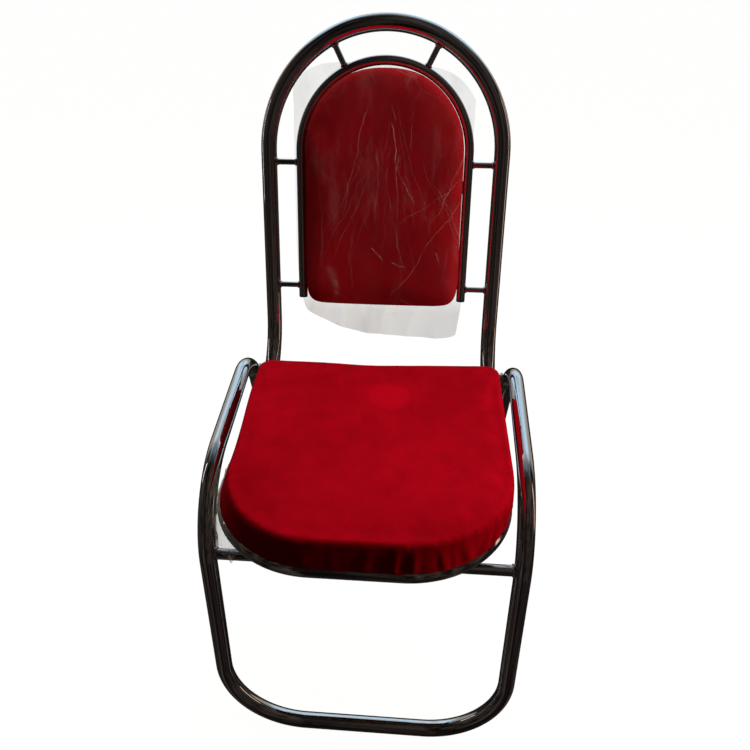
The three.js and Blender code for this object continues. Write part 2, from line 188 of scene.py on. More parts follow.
def bent_tube(mesh, corners, radii, radius, sides=40):
    """A ring pushed along each straight and turned round each bend, as a tube bender works."""
    corners = [Vector(corner) for corner in corners]
    heading = (corners[1] - corners[0]).normalized()
    turn = heading.to_track_quat("Z", "Y").to_matrix().to_4x4()
    before = set(mesh.edges)
    bmesh.ops.create_circle(
        mesh, cap_ends=False, radius=radius, segments=sides, matrix=Matrix.Translation(corners[0]) @ turn)
    ring = [edge for edge in mesh.edges if edge not in before]
    first = list(ring)
    at = corners[0]

    def push(ring, step):
        made = bmesh.ops.extrude_edge_only(mesh, edges=ring)["geom"]
        moved = [part for part in made if isinstance(part, bmesh.types.BMVert)]
        bmesh.ops.translate(mesh, verts=moved, vec=step)
        return new_ring(mesh, made)

    for index in range(1, len(corners) - 1):
        into = (corners[index] - corners[index - 1]).normalized()
        out = (corners[index + 1] - corners[index]).normalized()
        angle = into.angle(out)
        bend = radii[index - 1]
        start = corners[index] - into * bend * math.tan(angle / 2)
        centre = corners[index] + (out - into).normalized() * bend / math.cos(angle / 2)
        if (start - at).length > 1e-5:
            ring = push(ring, start - at)
        points = list({point for edge in ring for point in edge.verts})
        steps = max(3, round(angle / math.radians(3)))
        made = bmesh.ops.spin(
            mesh, geom=points + ring, cent=centre, axis=into.cross(out).normalized(), dvec=(0, 0, 0),
            angle=angle, steps=steps, use_merge=False, use_duplicate=False)["geom_last"]
        ring = new_ring(mesh, made)
        at = corners[index] + out * bend * math.tan(angle / 2)
    ring = push(ring, corners[-1] - at)
    for end in (first, ring):
        bmesh.ops.edgeloop_fill(mesh, edges=end)


def weld_bead(mesh, centre, axis, radius, thick, sides=28):
    """The fillet of weld round a rod's end: a small ring, a little lumpy."""
    axis = Vector(axis).normalized()
    turn = axis.to_track_quat("Z", "Y").to_matrix().to_4x4()
    home = Matrix.Translation(Vector(centre)) @ turn
    out = home.to_3x3() @ Vector((1, 0, 0))
    across = home.to_3x3() @ Vector((0, 1, 0))
    facing = across.to_track_quat("Z", "Y").to_matrix().to_4x4()
    before = set(mesh.edges)
    bmesh.ops.create_circle(
        mesh, cap_ends=False, radius=thick, segments=8,
        matrix=Matrix.Translation(Vector(centre) + out * radius) @ facing)
    ring = [edge for edge in mesh.edges if edge not in before]
    points = list({point for edge in ring for point in edge.verts})
    old = set(mesh.verts) - set(points)
    bmesh.ops.spin(
        mesh, geom=points + ring, cent=centre, axis=axis, dvec=(0, 0, 0), angle=math.tau, steps=sides,
        use_merge=True, use_duplicate=False)
    for point in mesh.verts:
        if point not in old:
            lump = math.sin(point.co.x * 2100 + point.co.y * 1700) * math.sin(point.co.z * 1900)
            point.co += (point.co - Vector(centre)).normalized() * lump * thick * 0.22


def finished(name, mesh, material, stands_for=(), crease=math.radians(38)):
    bmesh.ops.recalc_face_normals(mesh, faces=mesh.faces)
    data = bpy.data.meshes.new(name)
    mesh.to_mesh(data)
    mesh.free()
    data.shade_smooth()
    data.set_sharp_from_angle(angle=crease)
    piece = bpy.data.objects.new(name, data)
    scene.collection.objects.link(piece)
    data.materials.append(material)
    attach(piece, "root")
    if stands_for:
        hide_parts(*stands_for)
    return piece


def mirrored(corner, sign):
    return Vector((corner[0] * sign, corner[1], corner[2]))


chrome = chrome_finish()
base = bmesh.new()
half = [REAR_FOOT, HOOK, KNEE, FLOOR]
bent_tube(
    base, [mirrored(c, -1) for c in half] + [mirrored(c, 1) for c in reversed(half)],
    [HOOK_BEND, KNEE_BEND, FLOOR_BEND, FLOOR_BEND, KNEE_BEND, HOOK_BEND], TUBE)
finished("base_tube", base, chrome, ["base_frame"])

# ------------------------------------------------------------------ loop tube
# The second main tube: the tall arch of the back, whose legs bend forward under the seat and
# close in a D-shaped hoop. Its two ends meet over a sleeve on the left and are welded there.
HOOP_Z = 0.417                   # level of the seat hoop
LOOP = 0.165                     # half width of the arch and of the hoop
LEAN = 0.24                      # lean of the back, radians
BACK_Y = BAR_Y + 0.334           # where the line of the back meets the hoop's level
HOOP_FRONT = BAR_Y - 0.061
HOOP_CORNER = 0.115
BACK_BEND = 0.106
ARCH_UP = 0.325                  # the arch's centre, up the back
JOINT_Y = BAR_Y + 0.130
JOINT_GAP = 0.0006

# the back's own plane: x across, y up the back, z towards the sitter
back_place = Matrix.Translation((0, BACK_Y, HOOP_Z)) @ Matrix.Rotation(math.pi / 2 - LEAN, 4, "X")


def on_back(x, up, out=0.0):
    return back_place @ Vector((x, up, out))


loop = bmesh.new()
arch_top = ARCH_UP + LOOP
bent_tube(
    loop,
    [
        (-LOOP, JOINT_Y - JOINT_GAP / 2, HOOP_Z), (-LOOP, HOOP_FRONT, HOOP_Z), (LOOP, HOOP_FRONT, HOOP_Z),
        (LOOP, BACK_Y, HOOP_Z), on_back(LOOP, arch_top), on_back(-LOOP, arch_top),
        (-LOOP, BACK_Y, HOOP_Z), (-LOOP, JOINT_Y + JOINT_GAP / 2, HOOP_Z),
    ],
    [HOOP_CORNER, HOOP_CORNER, BACK_BEND, LOOP - 1e-5, LOOP - 1e-5, BACK_BEND], TUBE)
weld_bead(loop, (-LOOP, JOINT_Y, HOOP_Z), (0, 1, 0), TUBE, 0.0009, 40)
finished("loop_tube", loop, chrome, ["loop_frame"])

# ------------------------------------------------------------------ stretchers and braces
# Thinner chromed tubes between the two frames, coped and welded at both ends: one between the
# front legs, one under the back's bends, and a brace each side under the hoop's front.
STRETCHER = 0.007                # radius of the front stretcher
THIN = 0.00635                   # of the rear stretcher and the back hoop
ROD = 0.004                      # of the braces and the rods
STRETCHER_Z = 0.331
BRACE_SIDE = 0.1                 # how far the braces are from the middle

leg_share = (STRETCHER_Z - FLOOR[2]) / (KNEE[2] - FLOOR[2])
leg_at = Vector(FLOOR).lerp(Vector(KNEE), leg_share)
# a coped end bites a hair into the tube it is welded to
reach = leg_at.x - TUBE * 0.97
left_end, right_end = (-reach, leg_at.y, STRETCHER_Z), (reach, leg_at.y, STRETCHER_Z)


def stay(name, a, b, radius, stands_for, bead=0.0016):
    """A straight tube or rod, with a bead of weld at each end."""
    a, b = Vector(a), Vector(b)
    mesh = bmesh.new()
    bent_tube(mesh, [a, b], [], radius, sides=28)
    along = (b - a).normalized()
    for end, way in ((a, along), (b, -along)):
        weld_bead(mesh, end + way * bead * 0.8, along, radius, bead)
    finished(name, mesh, chrome, stands_for)


stay("front_stretcher_tube", left_end, right_end, STRETCHER, ["front_stretcher"])

low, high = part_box("rear_stretcher")
rear_y, rear_z = (low.y + high.y) / 2, (low.z + high.z) / 2
stay("rear_stretcher_tube", (low.x, rear_y, rear_z), (high.x, rear_y, rear_z), THIN, ["rear_stretcher"])

round_corner = BRACE_SIDE - (LOOP - HOOP_CORNER)
hoop_y = HOOP_FRONT + HOOP_CORNER - math.sqrt(HOOP_CORNER ** 2 - round_corner ** 2)
for side, sign in (("left", -1), ("right", 1)):
    top = Vector((sign * BRACE_SIDE, hoop_y, HOOP_Z))
    foot = Vector((sign * BRACE_SIDE, leg_at.y, STRETCHER_Z))
    along = (foot - top).normalized()
    stay(f"front_brace_rod_{side}", top + along * TUBE * 1.02, foot - along * STRETCHER * 1.02, ROD,
         [f"front_brace_{side}"])

# ------------------------------------------------------------------ back hoop and rods
# An inner arch of 12.7 mm tube carries the back pad. Six 8 mm rods hold it inside the big arch,
# and its two open lower ends are closed with black plugs.
BACK_HOOP = 0.1192               # half its width, and the radius of its bend
HOOP_END = 0.118                 # its open ends, up the back
ROD_HIGH = ARCH_UP - 0.014       # the side rods, up the back
ROD_LOW = HOOP_END + 0.016
ROD_TILT = math.radians(27)      # the top rods, from straight up

hoop = bmesh.new()
hoop_top = ARCH_UP + BACK_HOOP
bent_tube(
    hoop,
    [on_back(-BACK_HOOP, HOOP_END), on_back(-BACK_HOOP, hoop_top),
     on_back(BACK_HOOP, hoop_top), on_back(BACK_HOOP, HOOP_END)],
    [BACK_HOOP - 1e-5, BACK_HOOP - 1e-5], THIN, sides=32)
finished("back_hoop_tube", hoop, chrome, ["back_hoop"])

rod_in = BACK_HOOP + THIN * 0.98
rod_out = LOOP - TUBE * 0.99
for side, sign in (("left", -1), ("right", 1)):
    for level, up in (("high", ROD_HIGH), ("low", ROD_LOW)):
        stay(f"rod_{level}_{side}", on_back(sign * rod_in, up), on_back(sign * rod_out, up), ROD,
             [f"back_rod_{level}_{side}"], 0.0012)
    way = Vector((sign * math.sin(ROD_TILT), math.cos(ROD_TILT)))
    stay(f"rod_top_{side}", on_back(way.x * rod_in, ARCH_UP + way.y * rod_in),
         on_back(way.x * rod_out, ARCH_UP + way.y * rod_out), ROD, [f"back_rod_top_{side}"], 0.0012)

# ------------------------------------------------------------------ seat
# Foam on a board, wrapped in one piece of crimson velvet that is pulled under and stapled, so
# there is no seam: the slack gathers in small folds round the two big front corners.
SEAT_SHIFT = 0.003               # the seat sits a little to the right of the frame
seat_low, seat_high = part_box("seat_cover")
SEAT_FRONT_CORNER = 0.118
SEAT_REAR_CORNER = 0.016
SEAT_OUT = 0.0014                # how far the velvet stands out all round
SEAT_SUNK = 0.0022               # how far its top is below its full height before the foam fills it
SEAT_TAPER = 0.0045              # how far each side closes in towards the front
SEAT_GRIP = 0.007                # the height of its lower edge, which the staples hold
VOXEL = 0.0045                   # size of the even mesh that each cushion is blown up from
PRESSURE = 4.0                   # of the foam in its cover


def velvet_finish(name, deep, bright, sheen_spot_at):
    """Short-pile velvet: pile fibres, brushed patches that lie lighter or darker, soft sheen, and one painted
    sheen spot: a round lighter patch round the given point.
    """
    pile = Finish(name)
    drift = pile.noise(7, 3, 0.55)
    brushed = pile.noise(38, 4, 0.6)
    fibre = pile.noise(1500, 2, 0.7)
    fleck = pile.noise(330, 3, 0.75)
    rows = pile.node("ShaderNodeTexWave", {"bands_direction": "X"},
                     {"Vector": pile.place, "Scale": 190.0, "Distortion": 3.0, "Detail": 2.0}, "Fac")
    distance = {"operation": "DISTANCE"}
    # a round lighter patch round this point is a painted sheen spot, where the pile catches the light
    away = pile.node("ShaderNodeVectorMath", distance, {0: pile.place, 1: sheen_spot_at}, "Value")
    painted_sheen_spot = 1 - (away + brushed * 0.02).above(0.022, 0.046)
    lie = drift * 0.5 + brushed * 0.3 + fleck * 0.12 + fibre * 0.08 + painted_sheen_spot * 0.34
    tint = pile.blend(lie.above(0.28, 0.78), rgb(*deep), rgb(*bright))
    height = fibre * 0.55 + fleck * 0.5 + rows * 0.12 + brushed * 0.5
    return pile.done({
        "Base Color": tint, "Roughness": 0.75 + fleck * 0.25, "Specular IOR Level": 0.02,
        "Sheen Weight": 0.12, "Sheen Roughness": 0.5, "Sheen Tint": rgb(1.0, 0.015, 0.03),
        "Normal": pile.bump(height, 0.0006, 0.5),
    })


def ramp(value, low, high):
    """0 up to low, 1 from high on, and straight between."""
    return min(1.0, max(0.0, (value - low) / (high - low)))


def rounded_slab(mesh, low, high, taper, front_round, rear_round, segments=20):
    """A block with upright corners rounded: front_round at low y, rear_round at high y."""
    size = high - low
    home = Matrix.Translation((low + high) / 2) @ Matrix.Diagonal((size.x, size.y, size.z, 1))
    made = bmesh.ops.create_cube(mesh, size=1.0, matrix=home)["verts"]
    middle = (low + high) / 2
    for point in made:
        if point.co.y < middle.y:
            point.co.x += math.copysign(taper, middle.x - point.co.x)
    uprights = [e for e in mesh.edges if abs(e.verts[0].co.z - e.verts[1].co.z) > size.z / 2]
    for rounding, edges in (
            (front_round, [e for e in uprights if e.verts[0].co.y < middle.y]),
            (rear_round, [e for e in uprights if e.verts[0].co.y > middle.y])):
        bmesh.ops.bevel(
            mesh, geom=edges, offset=rounding, offset_type="OFFSET", segments=segments,
            profile=0.5, affect="EDGES", material=-1)


def blown_up(name, mesh, pinned, travel, soften, settle=0):
    """Remeshes a block evenly, then lets foam pressure fill its cover. Pinned says how firmly a
    point is held, from 0 to 1. The foam lets no point draw in, or go out further than travel.
    The cover is smoothed soften times before it fills, and settle times afterwards."""
    data = bpy.data.meshes.new(name)
    mesh.to_mesh(data)
    mesh.free()
    piece = bpy.data.objects.new(name, data)
    scene.collection.objects.link(piece)
    remesh = piece.modifiers.new("even", "REMESH")
    remesh.mode = "VOXEL"
    remesh.voxel_size = VOXEL
    even = bpy.data.meshes.new_from_object(piece.evaluated_get(bpy.context.evaluated_depsgraph_get()))
    piece.modifiers.clear()
    piece.data = even

    def eased(times):
        soft = bmesh.new()
        soft.from_mesh(even)
        for _ in range(times):
            free = [point for point in soft.verts if pinned(point.co) < 1]
            bmesh.ops.smooth_vert(
                soft, verts=free, factor=0.5, use_axis_x=True, use_axis_y=True, use_axis_z=True)
        soft.to_mesh(even)
        soft.free()

    eased(soften)
    held = piece.vertex_groups.new(name="held")
    for point in even.vertices:
        held.add([point.index], pinned(point.co), "REPLACE")
    cloth = piece.modifiers.new("cloth", "CLOTH")
    cloth.settings.quality = 6
    cloth.settings.mass = 0.25
    cloth.settings.tension_stiffness = 18
    cloth.settings.compression_stiffness = 18
    cloth.settings.shear_stiffness = 8
    cloth.settings.bending_stiffness = 1.5
    cloth.settings.use_pressure = True
    cloth.settings.uniform_pressure_force = PRESSURE
    cloth.settings.vertex_group_mass = "held"
    cloth.settings.effector_weights.gravity = 0
    cloth.collision_settings.use_collision = False
    cloth.point_cache.frame_end = 24
    for moment in range(1, 21):
        scene.frame_set(moment)
    full = piece.evaluated_get(bpy.context.evaluated_depsgraph_get()).to_mesh()
    moves = [full.vertices[point.index].co - point.co for point in even.vertices]
    facing = [point.normal.copy() for point in even.vertices]
    piece.modifiers.clear()
    scene.frame_set(1)
    for point, move, out in zip(even.vertices, moves, facing):
        move -= out * min(0.0, move.dot(out))
        if move.length > travel:
            move = move.normalized() * travel
        point.co += move
    piece.vertex_groups.clear()
    eased(settle)
    finer = piece.modifiers.new("finer", "SUBSURF")
    finer.levels = finer.render_levels = 1
    fine = bpy.data.meshes.new_from_object(piece.evaluated_get(bpy.context.evaluated_depsgraph_get()))
    bpy.data.objects.remove(piece)
    made = bmesh.new()
    made.from_mesh(fine)
    return made


block = bmesh.new()
outset = Vector((SEAT_OUT, SEAT_OUT, 0))
rounded_slab(
    block, seat_low - outset, seat_high + outset - Vector((0, 0, SEAT_SUNK)),
    SEAT_TAPER, SEAT_FRONT_CORNER + SEAT_OUT, SEAT_REAR_CORNER + SEAT_OUT)


def seat_held(co):
    return 1.0 if co.z < seat_low.z + SEAT_GRIP else 0.0


cushion = blown_up("seat_blank", block, seat_held, travel=0.0030, soften=2)

# The foam is cut by hand: its top is drawn in at the front left, and the rear edge is uneven.
DRAWN_IN = 0.0135
LIP_OUT = 0.0030                 # the lower edge stands out there
for point in cushion.verts:
    spot = point.co
    forward = ramp((seat_high.y - spot.y) / (seat_high.y - seat_low.y), 0.12, 0.64)
    raised = ramp(spot.z - seat_low.z, 0.004, 0.040)
    if spot.x < 0:
        share = (spot.x / seat_low.x) ** 2 * forward * forward * (3 - 2 * forward)
        spot.x += share * (DRAWN_IN * raised - LIP_OUT)
    rearward = max(0.0, 1 - (seat_high.y - spot.y) / 0.05) * raised
    dip = -0.0028 * math.exp(-((spot.x + 0.010) / 0.050) ** 2)
    spot.z += rearward * (dip + 0.0030 * ramp(spot.x, 0.05, 0.14))

# Folds run down the boxing: each has a place along the corner, a slant, a width and a depth.
corner_at = {sign: Vector((SEAT_SHIFT + sign * (seat_high.x - SEAT_SHIFT - SEAT_TAPER - SEAT_FRONT_CORNER),
                           seat_low.y + SEAT_FRONT_CORNER, 0)) for sign in (-1, 1)}
dice = random.Random(7)
folds = []
for sign, count, depth in ((1, 9, 0.0032), (-1, 6, 0.0005)):
    for number in range(count):
        angle = -112 + 108 * (number + dice.uniform(0.25, 0.75)) / count
        folds.append((sign, math.radians(angle), dice.uniform(-0.35, 0.35),
                      dice.uniform(0.034, 0.060), depth * dice.uniform(0.45, 1.0)))
for point in cushion.verts:
    spot = point.co
    drop = (seat_high.z - 0.004 - spot.z) / 0.040
    if drop <= 0 or spot.z < seat_low.z + 0.001:
        continue
    for sign, angle, slant, width, depth in folds:
        arm = Vector((spot.x, spot.y, 0)) - corner_at[sign]
        if arm.length < SEAT_FRONT_CORNER * 0.8 or arm.y > 0.03:
            continue
        here = math.atan2(arm.y, arm.x * sign)
        off = (here - angle - slant * (drop - 0.5) * 0.25) / width
        if abs(off) < 3:
            rise = math.exp(-off * off) - 0.35 * math.exp(-(abs(off) - 1.6) ** 2 * 2.2)
            hemmed = min(1.0, (spot.z - seat_low.z) / 0.012)
            point.co = spot + arm.normalized() * depth * rise * min(1.0, drop * 1.3) * hemmed
            spot = point.co
# the last point is the centre of the painted sheen spot on the seat's top
velvet = velvet_finish(
    "crimson_velvet", (0.35, 0.0008, 0.0060), (0.63, 0.0020, 0.0125), (0.022, -0.014, 0.476))
seat = finished("seat_cushion", cushion, velvet, ["seat_cover", "seat_foam"], crease=math.pi)

# ------------------------------------------------------------------ boards
# Both cushions are built on plywood. Underneath and behind, the velvet's hem leaves the middle
# of the board bare, and a row of wire staples holds it.
HEM = 0.021                      # how far the velvet is turned under the seat
BACK_HEM = 0.016                 # and behind the back pad
STAPLE_STEP = 0.019
STAPLE_OUT = 0.006               # from the hem's edge to the staples
STAPLE_WIDE = 0.010
STAPLE_WIRE = 0.0005
PROUD = 0.0003                   # how far a bare board shows past its hem


def plain_finish(name, first, second, scale, roughness, metallic=0.0, bump=0.0003, stretch=None):
    stuff = Finish(name)
    grain = stuff.noise(scale, 5, 0.6, stretch=stretch)
    fine = stuff.noise(scale * 9, 3, 0.6)
    tint = stuff.blend((grain * 0.75 + fine * 0.25).above(0.3, 0.7), rgb(*first), rgb(*second))
    return stuff.done({
        "Base Color": tint, "Metallic": metallic, "Roughness": roughness + fine * 0.2,
        "Normal": stuff.bump(grain + fine * 0.5, bump, 0.6),
    })


plywood = plain_finish(
    "plywood", (0.34, 0.19, 0.085), (0.52, 0.33, 0.16), 30, 0.6, bump=0.0006, stretch=(1, 9, 9))
zinc = plain_finish("zinc", (0.52, 0.52, 0.50), (0.70, 0.70, 0.68), 160, 0.28, 0.95)


def staple(mesh, at, along):
    """One wire staple lying flat on the hem, in line with its edge."""
    out = Vector((0, 0, 1))
    home = Matrix.Translation(at) @ Matrix((along, out.cross(along), out)).transposed().to_4x4()
    home = home @ Matrix.Diagonal((STAPLE_WIDE, STAPLE_WIRE * 2, STAPLE_WIRE, 1))
    made = bmesh.ops.create_cube(mesh, size=1.0, matrix=home)["verts"]
    edges = list({edge for point in made for edge in point.link_edges})
    bmesh.ops.bevel(
        mesh, geom=edges, offset=STAPLE_WIRE * 0.3, offset_type="OFFSET", segments=1, profile=0.5,
        affect="EDGES", material=-1)


def stapled_board(name, low, high, taper, front_round, rear_round, place, stands_for):
    """The bare part of a board, with a row of staples round its lower face."""
    board = bmesh.new()
    rounded_slab(board, low, high, taper, front_round, rear_round, 12)
    middle = (low + high) / 2
    rim = [edge for edge in board.edges if max(point.co.z for point in edge.verts) < middle.z]
    wires = bmesh.new()
    for edge in rim:
        first, last = edge.verts[0].co, edge.verts[1].co
        run = last - first
        if run.length < STAPLE_STEP * 0.35:
            continue
        count = max(1, round(run.length / STAPLE_STEP))
        for number in range(count):
            at = first.lerp(last, (number + 0.5) / count)
            outward = Vector((at.x - middle.x, at.y - middle.y, 0)).normalized()
            staple(wires, at + outward * STAPLE_OUT, run.normalized())
    for mesh in (board, wires):
        bmesh.ops.transform(mesh, matrix=place, verts=mesh.verts)
    finished(name, board, plywood, stands_for)
    finished(name + "_staples", wires, zinc)


stapled_board(
    "seat_board_panel", seat_low + Vector((HEM, HEM, -PROUD)),
    Vector((seat_high.x - HEM, seat_high.y - HEM, seat_low.z + 0.0085)), SEAT_TAPER,
    SEAT_FRONT_CORNER - HEM, 0.006, Matrix.Identity(4), ["seat_board"])

# ------------------------------------------------------------------ back pad
# The same velvet over foam and a thin board, cut to the inside of the back hoop: a round top,
# straight sides and small lower corners.
PAD = 0.1122                     # half its width, and the radius of its round top
PAD_LOW = 0.109                  # its lower edge, up the back
PAD_FRONT = 0.028                # its front and rear faces, from the back's own plane
PAD_BACK = 0.006
PAD_OUT = 0.0002                 # how far the velvet stands out all round
PAD_INSET = 0.001                # its hem, ahead of the board's rear face
PAD_SUNK = 0.004                 # how far its front is below its full depth before the foam fills it
PAD_CORNER = 0.021               # its lower corners
PAD_GRIP = 0.002                 # the velvet is held behind this level

block = bmesh.new()
rounded_slab(
    block, Vector((-PAD - PAD_OUT, PAD_LOW, -PAD_BACK + PAD_INSET)),
    Vector((PAD + PAD_OUT, ARCH_UP + PAD + PAD_OUT, PAD_FRONT - PAD_SUNK)),
    0.0, PAD_CORNER, PAD - PAD_OUT, 24)


def pad_held(co):
    return 1.0 if co.z < PAD_GRIP else 0.0


pad_mesh = blown_up("pad_blank", block, pad_held, travel=0.0038, soften=4, settle=14)
for point in pad_mesh.verts:
    # the round top is cut a little flat
    upward = ramp(point.co.y - ARCH_UP, 0.060, 0.105)
    point.co.y -= 0.0030 * upward * math.exp(-(point.co.x / 0.034) ** 2)
wrap = pad_mesh.copy()
bmesh.ops.transform(pad_mesh, matrix=back_place, verts=pad_mesh.verts)
pad = finished("back_pad", pad_mesh, velvet, ["back_cover", "back_foam"], crease=math.pi)
stapled_board(
    "back_board_panel", Vector((-PAD + BACK_HEM, PAD_LOW + BACK_HEM, -PAD_BACK - PROUD)),
    Vector((PAD - BACK_HEM, ARCH_UP + PAD - BACK_HEM, -PAD_BACK + 0.0055)), 0.0,
    0.006, PAD - BACK_HEM - 0.0005, back_place, ["back_board"])

# ------------------------------------------------------------------ clear film
# The polythene that the pads were packed in is still on: a tight creased layer over the back
# pad, and the rest of the bag standing out behind the hoop and hanging below.


def film_finish(name, cover, creases, tint=(0.90, 0.56, 0.52), thicker=0.0, smeared=0.0):
    """Clear film: nearly invisible where smooth, with painted highlights along its creases and fine crumples
    (milky lines in its tint and alpha), and milkier where it lies double at the bottom or is smeared."""
    film = Finish(name)
    across, _, level = film.axes()
    up = (level - HOOP_Z) / math.cos(LEAN)
    sway = (film.noise(16, 2) - 0.5) * 0.022 + (film.noise(70, 2) - 0.5) * 0.004
    lines = None
    for x0, u0, x1, u1, width, weight in creases:
        dx, du = x1 - x0, u1 - u0
        length = math.hypot(dx, du)
        along = ((across - x0) * dx + (up - u0) * du) / (length * length)
        off = ((across - x0) * du - (up - u0) * dx) / length + sway
        near = 1 - off.size().above(0, width)
        span = along.above(-0.04, 0.15) * (1 - along.above(0.75, 1.08))
        line = near * span * weight
        lines = line if lines is None else line.sum("MAXIMUM", lines, line)
    crumple = film.cells(26, "DISTANCE_TO_EDGE")
    fine = 1 - crumple.above(0.0, 0.035)
    fine = fine * film.noise(11, 3).above(0.52, 0.72)
    milk = film.noise(9, 4, 0.6, stretch=(2.2, 2.2, 0.6)).above(0.40, 0.75)
    smear = film.noise(8, 5, 0.68, stretch=(4.5, 4.5, 0.8)).above(0.50, 0.80)
    broken = film.noise(75, 3, 0.6).above(0.36, 0.60) * 0.75 + 0.25
    # the creases and fine crumples are painted highlights: milky lines in the film's pale pink tint
    painted_crease_highlights = fine * 0.35 if lines is None else lines * broken + fine * 0.15
    doubled = 1 - up.above(0.085, 0.125)
    alpha = cover + (milk * 0.8 + doubled * thicker) * cover + smear * smeared + painted_crease_highlights * 0.62
    return film.done({
        "Base Color": rgb(*tint), "Roughness": 0.16, "Alpha": alpha,
        "Specular IOR Level": 0.6,
        "Normal": film.bump(painted_crease_highlights + film.noise(30, 3) * 0.8 + smear * 0.6, 0.0015, 0.7),
    })


# Each crease's painted highlight: where it starts and ends on the pad, across and up, its width and its
# strength.
pad_creases = [
    (0.010, 0.395, 0.018, 0.372, 0.0016, 0.45), (0.012, 0.372, 0.022, 0.300, 0.0015, 1.00),
    (0.022, 0.330, 0.023, 0.230, 0.0014, 0.65), (0.021, 0.318, 0.044, 0.262, 0.0012, 0.50),
    (-0.020, 0.398, -0.058, 0.250, 0.0013, 0.45), (-0.006, 0.340, -0.010, 0.235, 0.0028, 0.36),
    (-0.014, 0.205, 0.002, 0.185, 0.0020, 0.90), (0.008, 0.286, 0.030, 0.170, 0.0013, 0.35),
    (0.112, 0.330, 0.072, 0.246, 0.0014, 0.60), (0.112, 0.276, 0.000, 0.112, 0.0012, 0.50),
    (-0.040, 0.230, -0.044, 0.140, 0.0030, 0.20), (-0.074, 0.176, -0.064, 0.130, 0.0070, 0.42),
    (0.076, 0.200, 0.086, 0.180, 0.0012, 0.55), (0.028, 0.128, 0.052, 0.112, 0.0018, 0.40),
    (-0.086, 0.270, -0.084, 0.170, 0.0026, 0.18), (0.036, 0.386, 0.042, 0.330, 0.0012, 0.35),
    (0.112, 0.300, 0.020, 0.232, 0.0010, 0.42), (0.014, 0.182, 0.034, 0.172, 0.0016, 0.55),
]
for number in range(12):
    fan = math.radians(-128 + 76 * (number + dice.uniform(0.1, 0.9)) / 12)
    near_top, far = dice.uniform(0.01, 0.14), dice.uniform(0.16, 0.29)
    pad_creases.append((
        0.014 + math.cos(fan) * near_top * 0.8, 0.405 + math.sin(fan) * near_top,
        0.014 + math.cos(fan) * far * 0.8, 0.405 + math.sin(fan) * far,
        dice.uniform(0.0008, 0.0013), dice.uniform(0.12, 0.30)))
bmesh.ops.recalc_face_normals(wrap, faces=wrap.faces)
wrap.normal_update()
hidden = [face for face in wrap.faces if face.calc_center_median().z < 0.004 or face.normal.z < -0.05]
bmesh.ops.delete(wrap, geom=hidden, context="FACES")
wrap.normal_update()
for point in wrap.verts:
    lift = 0.0009 + 0.0005 * math.sin(point.co.x * 60 + point.co.y * 23) ** 2
    point.co += point.normal * lift
bmesh.ops.transform(wrap, matrix=back_place, verts=wrap.verts)
film_look = film_finish("clear_film", 0.022, pad_creases, smeared=0.12)
area = sum(face.calc_area() for face in wrap.faces)
film = finished("film_over_pad", wrap, film_look, crease=math.pi)

# the rest of the bag, behind the hoop
BAG_WIDE, BAG_LONG = 0.256, 0.386
BAG_LEFT = 0.003                 # its middle, left of the chair's
BAG_UP = 0.250                   # its middle, up the back
BAG_OUT = -0.0125                # its plane, behind the hoop's
bag = bmesh.new()
bag_home = Matrix.Translation((-BAG_LEFT, BAG_UP, BAG_OUT))
bag_home = bag_home @ Matrix.Diagonal((BAG_WIDE / 2, BAG_LONG / 2, 1, 1))
bmesh.ops.create_grid(bag, x_segments=90, y_segments=130, size=1.0, matrix=bag_home)
for point in bag.verts:
    x, up = point.co.x, point.co.y
    # the upper corners are rounded, the right one lower than the left, and the hem dips
    edge = abs(x + BAG_LEFT) / (BAG_WIDE / 2)
    upper = (up - BAG_UP) / (BAG_LONG / 2)
    if upper > 0:
        point.co.y -= 0.030 * edge ** 6 * upper + (0.016 if x > 0 else 0.0) * edge * edge * upper
    else:
        point.co.x *= 1 - (0.13 if x < 0 else 0.075) * (-upper) ** 3
        point.co.y += (0.034 * edge ** 2 if x < 0 else -0.006 * edge + 0.008 * edge ** 12) * (-upper) ** 5
    away = max(0.0, edge - 0.7) + max(0.0, -upper - 0.6)
    ripple = math.sin(x * 75 + up * 22 + 1.2 * math.sin(up * 31)) + 0.6 * math.sin(up * 58 - x * 41)
    point.co.z += -0.0032 * abs(ripple) * min(1.0, away * 5)
bmesh.ops.transform(bag, matrix=back_place, verts=bag.verts)
bag_look = film_finish("bag_film", 0.155, [], (0.80, 0.66, 0.30), thicker=1.5)
area = sum(face.calc_area() for face in bag.faces)
bag_piece = finished("film_behind_pad", bag, bag_look, ["back_film"], crease=math.pi)

